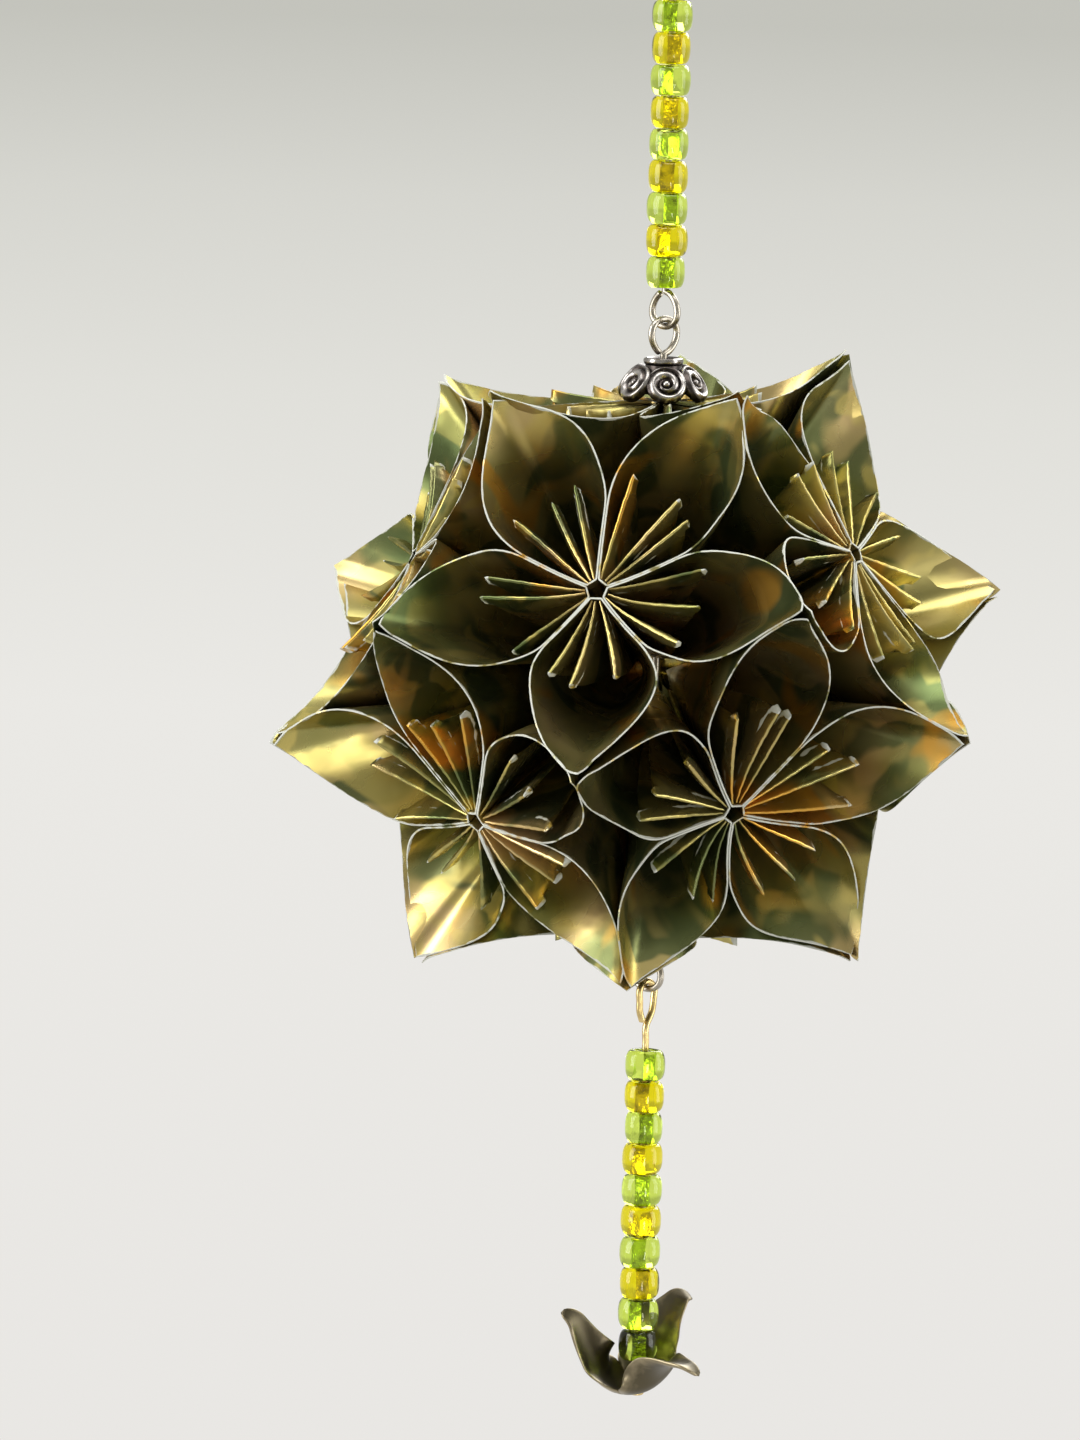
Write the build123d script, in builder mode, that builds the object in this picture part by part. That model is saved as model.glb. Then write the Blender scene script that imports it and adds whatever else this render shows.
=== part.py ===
"""Hanging kusudama paper ball: twelve flowers of five folded petals, glued at the petal tips, with a
beaded strand above and a beaded pendant below. Millimetres. The origin is the inside top of the
hanging eye, +Z is up and the viewer stands at -Y."""
import os
from math import asin, acos, atan, cos, degrees, radians, sin, sqrt, tan

from build123d import *

os.makedirs("parts", exist_ok=True)

# folded paper
paper_side = 50.8
paper_wall = 0.3
seam_wall = 0.45
channel_radius = 0.8
core_gap = 1.5
glue_gap = 0.06
bulge_radius = 8.5
bulge_flats = 4
rim_flat = 9.0
rim_margin = 6.0
loft_margin = 3.0
stamen_spread = 20.0
stamen_wall = 0.5
stamen_foot = 5.0
ball_turn = -9.9

# beads and wire
wire_radius = 0.35
eye_radius = 1.75
eye_sides = 12
wire_sides = 8
link_gap = 0.05
bead_radius = 2.0
bead_length = 3.17
bead_edge = 0.6
bead_hole = 1.2
bead_sides = 12
bead_gap = 0.05
bead_count = 10
hanger_eye_turn = -45.0
ball_eye_turn = 45.0
ball_ring_turn = -40.0
ring_drop = 2.8

# silver bead cap
cap_height = 4.3
cap_radius = 3.7
cap_collar = 1.9
cap_wall = 0.4
cap_turn = 6.0
lobe_count = 6
lobe_radius = 2.0
lobe_sides = 8
lobe_wall = 0.5
lobe_tilt = 58.0
boss_radius = 0.7
boss_sides = 6

# pendant
hook_length = 4.6
hook_width = 1.1
hook_end = 0.6
hook_bend = 2.2
shank_length = 2.4
lily_drop = 2.9
lily_tilt = 17.0
lily_lean = -10.0
lily_wall = 0.35
lily_base = 1.7
lily_hole = 0.52
lily_foot = 1.4
lily_bowl = 2.4
lily_sweep = 67.0
lily_bend_run = 5.5
lily_rise = 0.8
lily_curl_run = 2.2
lily_half_width = 3.7
# each lily petal's turn, its bend above the bowl and the curl of its tip, in degrees
lily_petals = ((181.4, -12.0, 62.0), (55.0, 45.0, 96.0), (307.6, 58.0, 61.0))
pin_head_radius = 0.75
pin_head_height = 0.5

# the petal's layout follows from the icosahedron and from the square sheet
petal_turn = 72.0
half_turn = radians(petal_turn / 2)
tip_half = radians(54.0)
seam_length = paper_side / 2
tip_length = paper_side / sqrt(2)
tip_polar = acos(sqrt((5 + 2 * sqrt(5)) / 15))
tip_angle = tip_polar + asin(core_gap * sin(tip_polar) / tip_length)
tip_x = tip_length * sin(tip_angle)
tip_z = tip_length * cos(tip_angle)
reach = seam_length * tan(tip_angle)
loft_top = tip_z + loft_margin
stamen_reach = seam_length * tan(radians(22.5))
corner = reach * cos(half_turn)
bulge_x = (corner - bulge_radius) * cos(half_turn) + bulge_radius * sin(half_turn)
bulge_y = (corner - bulge_radius) * sin(half_turn) - bulge_radius * cos(half_turn)


def petal_outline(inset, apex):
    """Outline of one petal at the loft's top: a kite with a flat seam and two rounded side corners."""
    start = half_turn + radians(90)
    side = [(apex[0], apex[0] * tan(half_turn) - inset / cos(half_turn))]
    for step in range(bulge_flats + 1):
        angle = start - radians(90) * step / bulge_flats
        rounding = bulge_radius - inset
        side.append((bulge_x + rounding * cos(angle), bulge_y + rounding * sin(angle)))
    points = [(x, -y) for x, y in side]
    points.append((reach - inset / sin(tip_half), 0))
    points += reversed(side)
    spread = (loft_top - apex[2]) / (seam_length - apex[2])
    return [(apex[0] + (x - apex[0]) * spread, y * spread) for x, y in points]


# each cone of paper comes to a point on the seam, beside the flower's open channel
outer_inset = glue_gap / 2
inner_inset = outer_inset + paper_wall
inner_x = channel_radius + seam_wall
outer_apex = (channel_radius, 0, channel_radius / tan(tip_angle))
inner_apex = (inner_x, 0, (inner_inset / sin(tip_half) + inner_x) / tan(tip_angle))

with BuildSketch(Plane.XY.offset(loft_top)) as outer_outline:
    Polygon(*petal_outline(outer_inset, outer_apex), align=None)

with BuildSketch(Plane.XY.offset(loft_top)) as inner_outline:
    Polygon(*petal_outline(inner_inset, inner_apex), align=None)

# what the rim leaves: level along the seam, then rising to the petal's tip
with BuildPart() as rim_cutter:
    rise = (tip_z - seam_length) / (tip_x - rim_flat)
    with BuildSketch(Plane.XZ):
        with BuildLine():
            Polyline(
                (0, loft_top + 1),
                (0, seam_length),
                (rim_flat, seam_length),
                (tip_x + rim_margin, tip_z + rim_margin * rise),
                (tip_x + rim_margin, loft_top + 1),
                close=True,
            )
        make_face()
    extrude(amount=reach, both=True)

# one stamen: a folded strip that widens from the seam to its free end
stamen_root = channel_radius + 0.4 * seam_wall
with BuildSketch(Plane.XY.offset(seam_length)) as stamen_outline:
    with BuildLine():
        Polyline(
            (0, 0),
            (stamen_reach - stamen_root, -stamen_wall / 2),
            (stamen_reach - stamen_root, stamen_wall / 2),
            close=True,
        )
    make_face()

with BuildPart() as stamen:
    loft(sections=[stamen_outline.sketch, Vertex(0, 0, stamen_foot)], ruled=True)

# one folded petal with its three stamens
with BuildPart() as petal:
    loft(sections=[outer_outline.sketch, Vertex(*outer_apex)], ruled=True)
    loft(sections=[inner_outline.sketch, Vertex(*inner_apex)], ruled=True, mode=Mode.SUBTRACT)
    add(rim_cutter.part, mode=Mode.SUBTRACT)
    for turn in (-stamen_spread, 0, stamen_spread):
        with Locations(Location((stamen_root, 0, 0), (0, 0, turn))):
            add(stamen.part)

# one glass bead with a square hole
with BuildPart() as bead:
    with BuildSketch():
        RegularPolygon(radius=bead_radius, side_count=bead_sides)
    extrude(amount=bead_length)
    chamfer(bead.faces().sort_by(Axis.Z)[-1].edges(), length=bead_edge)
    chamfer(bead.faces().sort_by(Axis.Z)[0].edges(), length=bead_edge)
    with BuildSketch():
        Rectangle(bead_hole, bead_hole)
    extrude(amount=bead_length, mode=Mode.SUBTRACT)

# heights, counted down from the hanging eye
bead_pitch = bead_length + bead_gap
hang_centre = wire_radius - eye_radius
hanger_beads = hang_centre - eye_radius - wire_radius - bead_gap
hanger_low_eye = hanger_beads - bead_count * bead_pitch - wire_radius - eye_radius
link_axis = hanger_low_eye - eye_radius
ball_eye = link_axis + 2 * wire_radius + link_gap - eye_radius
cap_top = ball_eye - eye_radius - wire_radius - bead_gap
ball_centre = cap_top - cap_height - bead_gap - seam_length - core_gap
ring_centre = ball_centre - core_gap - seam_length - ring_drop - eye_radius
ring_axis = ring_centre - eye_radius
hook_top = ring_axis + 2 * wire_radius + link_gap
shank_top = hook_top - hook_length
pendant_beads = shank_top - shank_length
lily_height = pendant_beads - bead_count * bead_pitch - lily_drop
lily_slant = acos(cos(radians(lily_tilt)) * cos(radians(lily_lean)))
pin_end = lily_height - pin_head_radius * sin(lily_slant) - bead_gap


def eye_points(centre, turn, up):
    """Corners of an open wire eye, starting where the straight wire joins it."""
    across = Vector(cos(radians(turn)), sin(radians(turn)), 0)
    rise = Vector(0, 0, 1 if up else -1)
    middle = Vector(0, 0, centre)
    points = [middle - rise * eye_radius]
    for step in range(eye_sides):
        angle = radians(-90 + (step + 0.5) * 360 / eye_sides)
        radius = eye_radius / cos(radians(180 / eye_sides))
        points.append(middle + across * (radius * cos(angle)) + rise * (radius * sin(angle)))
    return points


# upper strand: one wire with an eye at each end
with BuildPart() as hanger_wire:
    with BuildLine() as hanger_path:
        top_eye = eye_points(hang_centre, hanger_eye_turn, True)
        low_eye = eye_points(hanger_low_eye, hanger_eye_turn, False)
        Polyline(*reversed(top_eye), *low_eye)
    with BuildSketch(Plane(hanger_path.line @ 0, z_dir=hanger_path.line % 0)):
        RegularPolygon(radius=wire_radius, side_count=wire_sides)
    sweep(transition=Transition.RIGHT)
hanger_wire.part.label = "hanger_wire"
export_step(hanger_wire.part, "parts/hanger_wire.step")

# the ball's wire: an eye on top, a straight run through the ball and a ring eye below
with BuildPart() as ball_wire:
    with BuildLine() as ball_path:
        top_eye = eye_points(ball_eye, ball_eye_turn, True)
        low_eye = eye_points(ring_centre, ball_ring_turn, False)
        Polyline(*reversed(top_eye), *low_eye)
    with BuildSketch(Plane(ball_path.line @ 0, z_dir=ball_path.line % 0)):
        RegularPolygon(radius=wire_radius, side_count=wire_sides)
    sweep(transition=Transition.RIGHT)
ball_wire.part.label = "ball_wire"
export_step(ball_wire.part, "parts/ball_wire.step")

# pendant pin: an open hook, a straight shank and a flat head
with BuildPart() as pendant_pin:
    side = Vector(cos(radians(ball_ring_turn + 90)), sin(radians(ball_ring_turn + 90)), 0)
    hook_corner = 0.6 * hook_width
    with BuildLine() as pin_path:
        Polyline(
            side * (-0.8 * hook_width) + Vector(0, 0, shank_top + hook_end),
            side * -hook_width + Vector(0, 0, shank_top + hook_bend),
            side * -hook_width + Vector(0, 0, hook_top - hook_corner),
            side * (hook_corner - hook_width) + Vector(0, 0, hook_top),
            side * (hook_width - hook_corner) + Vector(0, 0, hook_top),
            side * hook_width + Vector(0, 0, hook_top - hook_corner),
            side * hook_width + Vector(0, 0, shank_top + hook_bend),
            Vector(0, 0, shank_top),
            Vector(0, 0, pin_end),
        )
    with BuildSketch(Plane(pin_path.line @ 0, z_dir=pin_path.line % 0)):
        RegularPolygon(radius=wire_radius, side_count=wire_sides)
    sweep(transition=Transition.RIGHT)
    with Locations((0, 0, pin_end)):
        Cylinder(pin_head_radius, pin_head_height, align=(Align.CENTER, Align.CENTER, Align.MAX))
pendant_pin.part.label = "pendant_pin"
export_step(pendant_pin.part, "parts/pendant_pin.step")

# the two strands of beads
for strand, top in (("hanger_bead", hanger_beads), ("pendant_bead", pendant_beads)):
    for place in range(bead_count):
        with BuildPart() as strung:
            with Locations((0, 0, top - place * bead_pitch - bead_length)):
                add(bead.part)
        name = f"{strand}_{place + 1:02d}"
        strung.part.label = name
        export_step(strung.part, f"parts/{name}.step")

# silver bead cap: a collar, a bell and a ring of scroll lobes
with BuildPart() as lobe:
    with BuildSketch():
        RegularPolygon(radius=lobe_radius, side_count=lobe_sides)
    extrude(amount=lobe_wall)
    with BuildSketch():
        RegularPolygon(radius=boss_radius, side_count=boss_sides)
    extrude(amount=lobe_wall + cap_wall)

with BuildPart() as bead_cap:
    bell_foot = 0.6 * lobe_radius
    bell_flare = (cap_radius - cap_collar) * cos(radians(180 / lobe_count))
    bell_slope = degrees(atan(bell_flare / (cap_height - bell_foot)))
    with BuildSketch(Plane.XY.offset(bell_foot)):
        RegularPolygon(radius=cap_radius, side_count=lobe_count, rotation=180 / lobe_count)
    extrude(amount=cap_height - bell_foot, taper=bell_slope)
    with BuildSketch(Plane.XY.offset(bell_foot)):
        RegularPolygon(radius=cap_radius - 3 * cap_wall, side_count=lobe_count, rotation=180 / lobe_count)
    extrude(amount=cap_height - bell_foot - cap_wall, taper=bell_slope, mode=Mode.SUBTRACT)
    lobe_height = lobe_radius * sin(radians(lobe_tilt))
    with PolarLocations(cap_radius - cap_wall, lobe_count, start_angle=180 / lobe_count):
        with Locations(Location((0, 0, lobe_height), (0, lobe_tilt, 0))):
            add(lobe.part)
    Cylinder(wire_radius + bead_gap, 3 * cap_height, mode=Mode.SUBTRACT)
with BuildPart() as placed_cap:
    with Locations(Location((0, 0, cap_top - cap_height), (0, 0, cap_turn))):
        add(bead_cap.part)
placed_cap.part.label = "bead_cap"
export_step(placed_cap.part, "parts/bead_cap.step")

# lily cap: three petals that share a bowl and bend outwards, each in its own way
def lily_side(offset, bend, curl):
    """One face of a petal's side view: flat foot, bowl, bend, straight rise and curled tip."""
    bend_radius = abs(lily_bend_run / radians(bend) + offset)
    curl_radius = lily_curl_run / radians(curl) + offset
    foot = Line((0.6 * lily_base, offset), (lily_foot, offset))
    bowl = JernArc(foot @ 1, foot % 1, lily_bowl - offset, lily_sweep)
    bent = JernArc(bowl @ 1, bowl % 1, bend_radius, -bend)
    rise = PolarLine(bent @ 1, lily_rise, lily_sweep - bend)
    tip = JernArc(rise @ 1, bent % 1, curl_radius, -curl)
    return foot @ 0, tip @ 1


def lily_petal(bend, curl):
    """One petal: its side view carried sideways and cut to a leaf that is broad at the bowl."""
    with BuildPart() as leaf:
        with BuildSketch(Plane.XZ):
            with BuildLine():
                under_start, under_end = lily_side(0, bend, curl)
                over_start, over_end = lily_side(lily_wall, bend, curl)
                Line(under_start, over_start)
                Line(under_end, over_end)
            make_face()
        extrude(amount=lily_half_width, both=True)
        tip = over_end.X
        shoulder = lily_half_width / tan(radians(60))
        middle = 0.5 * (shoulder + tip)
        with BuildSketch():
            with BuildLine():
                Polyline(
                    (0, 0),
                    (shoulder, -lily_half_width),
                    (middle, -0.6 * lily_half_width),
                    (tip, -0.28 * lily_half_width),
                    (tip, 0.28 * lily_half_width),
                    (middle, 0.6 * lily_half_width),
                    (shoulder, lily_half_width),
                    close=True,
                )
            make_face()
        extrude(amount=3 * lily_bend_run, mode=Mode.INTERSECT)
    return leaf.part


with BuildPart() as lily_cap:
    with Locations(Location((0, 0, lily_height), (lily_tilt, lily_lean, 0))):
        for turn, bend, curl in lily_petals:
            with Locations(Location((0, 0, 0), (0, 0, turn))):
                add(lily_petal(bend, curl))
        Cylinder(lily_base, lily_wall, align=(Align.CENTER, Align.CENTER, Align.MIN))
        Cylinder(lily_hole, 4 * lily_wall, mode=Mode.SUBTRACT)
lily_cap.part.label = "lily_cap"
export_step(lily_cap.part, "parts/lily_cap.step")

# twelve flowers on the corners of an icosahedron, one at each pole
latitude = atan(0.5)
flower_frames = [("flower_top", 90.0, ball_turn + 36.0), ("flower_bottom", -90.0, ball_turn)]
for place in range(5):
    flower_frames.append((f"flower_upper_{place + 1}", degrees(latitude), ball_turn + 72 * place))
    flower_frames.append((f"flower_lower_{place + 1}", -degrees(latitude), ball_turn + 36 + 72 * place))

for name, height, turn in flower_frames:
    level = cos(radians(height))
    outward = Vector(level * sin(radians(turn)), -level * cos(radians(turn)), sin(radians(height)))
    along = Vector(sin(radians(turn)), -cos(radians(turn)), 0)
    if abs(height) < 89:
        along = Vector(0, 0, -1 if height > 0 else 1)
        along = along - outward * along.dot(outward)
    point = Vector(0, 0, ball_centre) + outward * core_gap
    with BuildPart() as flower:
        with Locations(Plane(origin=point, x_dir=along, z_dir=outward)):
            with PolarLocations(0, 5):
                add(petal.part)
    flower.part.label = name
    export_step(flower.part, f"parts/{name}.step")
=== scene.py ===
"""Looks of a hanging kusudama paper ball: folded foil petals with cut stamens, glass beads on wire,
a scrolled silver cap and a brass lily. Sizes are in millimetres and are turned to metres where a
mesh is made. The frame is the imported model's: the hanging eye at the origin, +Z up, viewer at -Y."""

import bmesh
import bpy
import numpy as np
from mathutils import Matrix, Vector


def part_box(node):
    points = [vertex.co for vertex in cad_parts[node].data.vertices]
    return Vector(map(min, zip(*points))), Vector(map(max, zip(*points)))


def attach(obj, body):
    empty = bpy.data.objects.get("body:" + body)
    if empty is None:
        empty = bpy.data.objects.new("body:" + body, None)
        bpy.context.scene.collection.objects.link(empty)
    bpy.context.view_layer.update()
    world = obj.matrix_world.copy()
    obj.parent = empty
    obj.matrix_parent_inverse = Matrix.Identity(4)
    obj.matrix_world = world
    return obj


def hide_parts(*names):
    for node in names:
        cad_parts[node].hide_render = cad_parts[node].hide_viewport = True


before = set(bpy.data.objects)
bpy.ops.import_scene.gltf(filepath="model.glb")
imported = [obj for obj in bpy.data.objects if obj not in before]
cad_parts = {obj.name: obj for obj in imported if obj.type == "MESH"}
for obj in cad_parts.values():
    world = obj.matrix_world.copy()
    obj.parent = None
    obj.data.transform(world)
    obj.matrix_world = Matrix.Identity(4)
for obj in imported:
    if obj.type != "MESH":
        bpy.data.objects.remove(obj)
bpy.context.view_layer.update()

MM = 0.001

# mesh making: points this close are one, shorter edges go, and steeper edges stay sharp
merge_distance = 0.002
sliver_length = 0.0005
sharp_angle = 40.0

# folded paper
paper_side = 50.8
paper_wall = 0.17
glue_gap = 0.06
core_gap = 1.5
bulge_radius = 8.5
tip_round = 2.4
seam_start = 1.2
seam_round = 0.35
ball_turn = -9.9
stamen_reach = 10.9
stamen_foot = 5.0
stamen_flank = 1.0
petals = 5
petal_step = 360.0 / petals
line_count = 33
petal_swell = 0.05
rim_waviness = 0.012
dent_depth = 1.2
glue_white = 0.04
flower_seed = 100

# cut stamens: degrees between them and astray, shares of their reach, millimetres, the section's shares of
# the width at the ridge and foot, and points along and over the ridge
stamen_angle = 21.0
stamen_stray = 5.0
stamen_lengths = (0.9, 1.08)
stamen_lift = (-0.2, 1.4)
stamen_bend = 0.9
stamen_width = (0.40, 0.54)
stamen_crimp = 0.03
ridge_drop = 0.25
ridge_share = 0.45
foot_share = 0.25
stamen_rings = 27
ridge_points = 9

# how the hand-made ball differs from a regular one: its lean in degrees, its offset, the angles from the
# poles and the distance from the core over which these set in, and the nudges right and up in millimetres
ball_lean = -1.5
ball_offset = -1.25
pole_still = 8.0
pole_fade = 30.0
core_fade = 12.0
nudge_spread = 34.0
nudges = (
    (("flower_upper_1",), -0.3, -1.7),
    (("flower_upper_2",), 0.0, 0.6),
    (("flower_upper_5",), 0.6, -0.6),
    (("flower_lower_1",), -1.4, -0.3),
    (("flower_lower_5",), 0.6, -1.7),
    (("flower_upper_1", "flower_upper_2", "flower_lower_1"), 0.2, 2.0),
    (("flower_top", "flower_upper_1", "flower_upper_5"), 0.9, -0.4),
    (("flower_top", "flower_upper_2", "flower_upper_3"), -1.6, 1.9),
    (("flower_top", "flower_upper_4", "flower_upper_5"), -0.7, -1.1),
    (("flower_upper_2", "flower_lower_1", "flower_lower_2"), 0.3, 1.3),
    (("flower_upper_5", "flower_lower_4", "flower_lower_5"), -1.4, -0.3),
    (("flower_upper_4", "flower_upper_5", "flower_lower_4"), 0.4, 1.1),
    (("flower_lower_1", "flower_lower_2", "flower_bottom"), 1.3, 0.9),
    (("flower_lower_1", "flower_lower_5", "flower_bottom"), 2.2, -0.2),
    (("flower_lower_4", "flower_lower_5", "flower_bottom"), -0.7, -0.3),
)

# beads and wire
wire_radius = 0.35
eye_radius = 1.75
bead_radius = 2.04
bead_hole = 1.2
bead_count = 10
bead_spin = 37.0
bead_roundness = 0.82
bead_wobble = 0.02
bead_lean = 0.06
bead_widths = (0.95, 1.03)
bead_lengths = (0.96, 1.0)
bead_seed = 500
lining_gap = 0.03
lining_wall = 0.07
lining_inset = 0.16
eye_sweep = 330.0
eye_taper = 0.18
hanger_eye_turn = -45.0
ball_eye_turn = 45.0
ball_ring_turn = -40.0
hook_length = 4.6
hook_width = 1.1

# the cap's bell, from its pierced top out over a ring, down the skirt and back inside: distance from the
# axis, drop below the top, and painted brightness, low where shade is painted on the top, skirt and inside
bell_profile = (
    (0.5, 0.5, 0.0),
    (0.9, 0.45, 0.0),
    (1.2, 0.3, 0.1),
    (1.45, 0.1, 0.8),
    (1.7, 0.0, 1.0),
    (1.95, 0.1, 1.0),
    (2.02, 0.32, 1.0),
    (1.95, 0.55, 0.6),
    (1.8, 0.75, 0.1),
    (1.85, 1.0, 0.1),
    (2.2, 1.6, 0.1),
    (2.7, 2.4, 0.1),
    (3.2, 3.2, 0.1),
    (3.3, 3.5, 0.0),
    (3.1, 3.4, 0.0),
    (2.4, 2.0, 0.0),
    (1.7, 1.1, 0.0),
    (0.5, 0.9, 0.0),
)
bell_wave = 0.10
scroll_count = 6
scroll_radius = 2.05
scroll_ring = 3.3
scroll_tilt = 58.0
scroll_turn = -84.0
scroll_winding = 1.9
scroll_knob = 0.2
scroll_base = 0.22
scroll_relief = 0.42
scroll_back = 0.35

# lily cap and the pin's head
lily_tilt = 17.0
lily_lean = -10.0
lily_wall = 0.5
lily_drop = 2.9
lily_foot = 0.9
lily_bowl = 2.4
lily_sweep = 67.0
lily_bend_run = 5.5
lily_rise = 1.2
lily_curl_run = 2.2
lily_leaf = 3.9
lily_taper = 1.7
lily_tip = 1.3
lily_flare = 2.3
lily_bowl_lift = 0.4
lily_gutter = 0.5
# each petal's turn, its bend above the bowl, and its tip's curl, sideways swing and twist, in degrees
lily_petals = (
    (181.4, -12.0, 62.0, 0.0, -42.0),
    (55.0, 40.0, 96.0, -7.0, 30.0),
    (307.6, 58.0, 61.0, 6.0, -18.0),
)
pin_head_radius = 0.75
pin_head_height = 0.5
# the head's share of its radius and its level under the pin's end, from the flat top to the dome
pin_head_profile = (
    (0.0, 0.0),
    (0.5, 0.0),
    (0.85, -0.02),
    (1.0, -0.14),
    (0.97, -0.32),
    (0.8, -0.42),
    (0.5, -0.48),
    (0.0, -0.5),
)

# gold foil: the ground's tones along its drift, then the brush marks as waves per metre, curl, cut through
# the noise, where a mark starts and is full, its strength and its colour
foil_ground = (
    (0.35, (0.24, 0.24, 0.075)),
    (0.5, (0.40, 0.335, 0.12)),
    (0.66, (0.59, 0.43, 0.20)),
)
foil_marks = (
    (75, 1.8, 3.0, 0.50, 0.575, 0.75, (0.065, 0.11, 0.045)),
    (90, 1.8, 7.0, 0.55, 0.635, 0.65, (0.62, 0.50, 0.15)),
    (75, 1.4, 11.0, 0.575, 0.66, 0.8, (0.68, 0.35, 0.05)),
)
# waves per metre of the ground, the white edge's wander and tears, the gloss and the crumples
drift_scale = 75
wander_scale = 700
torn_scale = 150
sheen_scale = 160
crumple_scale = 210
brush_detail = 1.4
# the white edge's width, added width where torn, and softness, in millimetres
edge_width = (-0.06, 0.13)
torn_width = 0.24
edge_softness = 0.04
foil_gloss = (0.22, 0.34)
crumple_strength = 0.24
crumple_depth = 0.35
foil_metal = 0.91
foil_edge_tint = (0.78, 0.73, 0.55, 1)
paper_white = (0.48, 0.49, 0.44)
glass_index = 1.36
glass_gloss = 0.04
glass_shade = 0.86

# pale sweep, in metres: its scale about the camera, front edge, bend, height and half width, the levels that
# its tones run between, and the tones, which are painted light: they glow and grow darker towards the top
sweep_scale = 2.0
sweep_front = -2.5
sweep_bend_start = 0.7
sweep_bend = 0.5
sweep_height = 2.2
sweep_half_width = 3.0
sweep_floor = -0.42
sweep_top = 0.12
sweep_painted_tones = (
    (0.14, (0.815, 0.80, 0.775)),
    (0.37, (0.823, 0.812, 0.782)),
    (0.50, (0.75, 0.745, 0.705)),
    (0.585, (0.67, 0.668, 0.625)),
    (0.66, (0.55, 0.55, 0.505)),
    (1.0, (0.52, 0.515, 0.47)),
)

# the room's tones from the viewer's side to the far side, the tone the camera sees, and the soft boxes as
# name, place in metres, size in metres and watts
room_tones = (
    (0.0, (0.42, 0.42, 0.39)),
    (0.22, (0.46, 0.46, 0.43)),
    (0.6, (0.62, 0.62, 0.60)),
    (1.0, (0.82, 0.82, 0.80)),
)
room_seen = (0.76, 0.755, 0.74)
soft_boxes = (
    ("left_box", (-0.75, -0.25, 0.15), (0.45, 0.9), 8.5),
    ("right_box", (0.8, -0.1, 0.05), (0.4, 0.8), 4.2),
    ("top_box", (0.05, -0.1, 0.75), (0.8, 0.6), 6.5),
    ("front_box", (0.24, -0.83, -0.33), (0.12, 0.28), 1.2),
    ("back_box", (0.35, 0.75, 0.35), (0.7, 0.5), 6),
)

# the photograph's camera: height angle, distance from the ball in millimetres, roll, focal length and the
# ball's centre in pixels of the frame
camera_elevation = np.radians(6.93)
camera_distance = 865.7
camera_roll = 1.5
frame_width = 1080
frame_height = 1440
focal = 8545.0
centre_pixel = (655.5, 665.0)


def node_span(node):
    """The lowest and highest level of a CAD node, in millimetres."""
    low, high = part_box(node)
    return low.z / MM, high.z / MM


# levels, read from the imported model
hang_centre = node_span("hanger_wire")[1] - wire_radius - eye_radius
hanger_low_eye = node_span("hanger_wire")[0] + wire_radius + eye_radius
ball_eye = node_span("ball_wire")[1] - wire_radius - eye_radius
ring_centre = node_span("ball_wire")[0] + wire_radius + eye_radius
ball_centre = (node_span("flower_top")[1] + node_span("flower_bottom")[0]) / 2
cap_foot, cap_top = node_span("bead_cap")
hook_top = node_span("pendant_pin")[1] - wire_radius
pin_end = node_span("pendant_pin")[0] + pin_head_height
shank_top = hook_top - hook_length
hanger_beads = node_span("hanger_bead_01")[1]
pendant_beads = node_span("pendant_bead_01")[1]
bead_length = hanger_beads - node_span("hanger_bead_01")[0]
bead_pitch = hanger_beads - node_span("hanger_bead_02")[1]
lily_height = node_span("pendant_bead_10")[0] - lily_drop

# lengths of the folded petal that follow from the sheet and the icosahedron
half_turn = np.radians(36.0)
tip_half = np.radians(54.0)
seam_length = paper_side / 2
tip_length = paper_side / np.sqrt(2)
tip_polar = np.arccos(np.sqrt((5 + 2 * np.sqrt(5)) / 15))
tip_angle = tip_polar + np.arcsin(core_gap * np.sin(tip_polar) / tip_length)
reach = seam_length * np.tan(tip_angle)


# mesh making

def quads(copies, rows, columns, flip):
    """Corner numbers of the faces of several equal grids whose points follow one another."""
    corner = np.arange(rows * columns).reshape(rows, columns)
    ring = [corner[:-1, :-1], corner[:-1, 1:], corner[1:, 1:], corner[1:, :-1]]
    faces = np.stack(ring, axis=-1).reshape(-1, 4)
    if flip:
        faces = faces[:, ::-1]
    return (faces[None] + np.arange(copies)[:, None, None] * rows * columns).reshape(-1, 4)


def make_piece(name, sheets, material, body, slot, *nodes):
    """One mesh from sheets of points. A sheet is (points, edge, flip): points is any number of grids
    of rows by columns by three, edge is the distance of each point from its cut edge, and flip turns
    the faces round. Points that meet are merged, so that seams and poles are closed."""
    points, faces, edges, count = [], [], [], 0
    for grid, edge, flip in sheets:
        rows, columns = grid.shape[-3:-1]
        copies = grid.size // (rows * columns * 3)
        points.append(grid.reshape(-1, 3) * MM)
        faces.append(quads(copies, rows, columns, flip) + count)
        edges.append(np.broadcast_to(edge, grid.shape[:-1]).ravel())
        count += copies * rows * columns
    mesh = bpy.data.meshes.new(name)
    mesh.from_pydata(np.concatenate(points), [], np.concatenate(faces))
    layer = mesh.attributes.new("edge", "FLOAT", "POINT")
    layer.data.foreach_set("value", np.concatenate(edges).astype(np.float32))
    work = bmesh.new()
    work.from_mesh(mesh)
    bmesh.ops.remove_doubles(work, verts=work.verts, dist=merge_distance * MM)
    bmesh.ops.dissolve_degenerate(work, edges=work.edges, dist=sliver_length * MM)
    work.to_mesh(mesh)
    work.free()
    mesh.polygons.foreach_set("use_smooth", np.ones(len(mesh.polygons), dtype=bool))
    mesh.set_sharp_from_angle(angle=np.radians(sharp_angle))
    mesh.materials.append(material)
    piece = bpy.data.objects.new(name, mesh)
    bpy.context.scene.collection.objects.link(piece)
    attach(piece, body)
    if nodes:
        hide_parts(*nodes)
    return piece


def turned(points, matrix, origin):
    """Points carried from a local frame, whose axes are the matrix's columns, to the part's frame."""
    return points @ np.asarray(matrix).T + np.asarray(origin)


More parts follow.
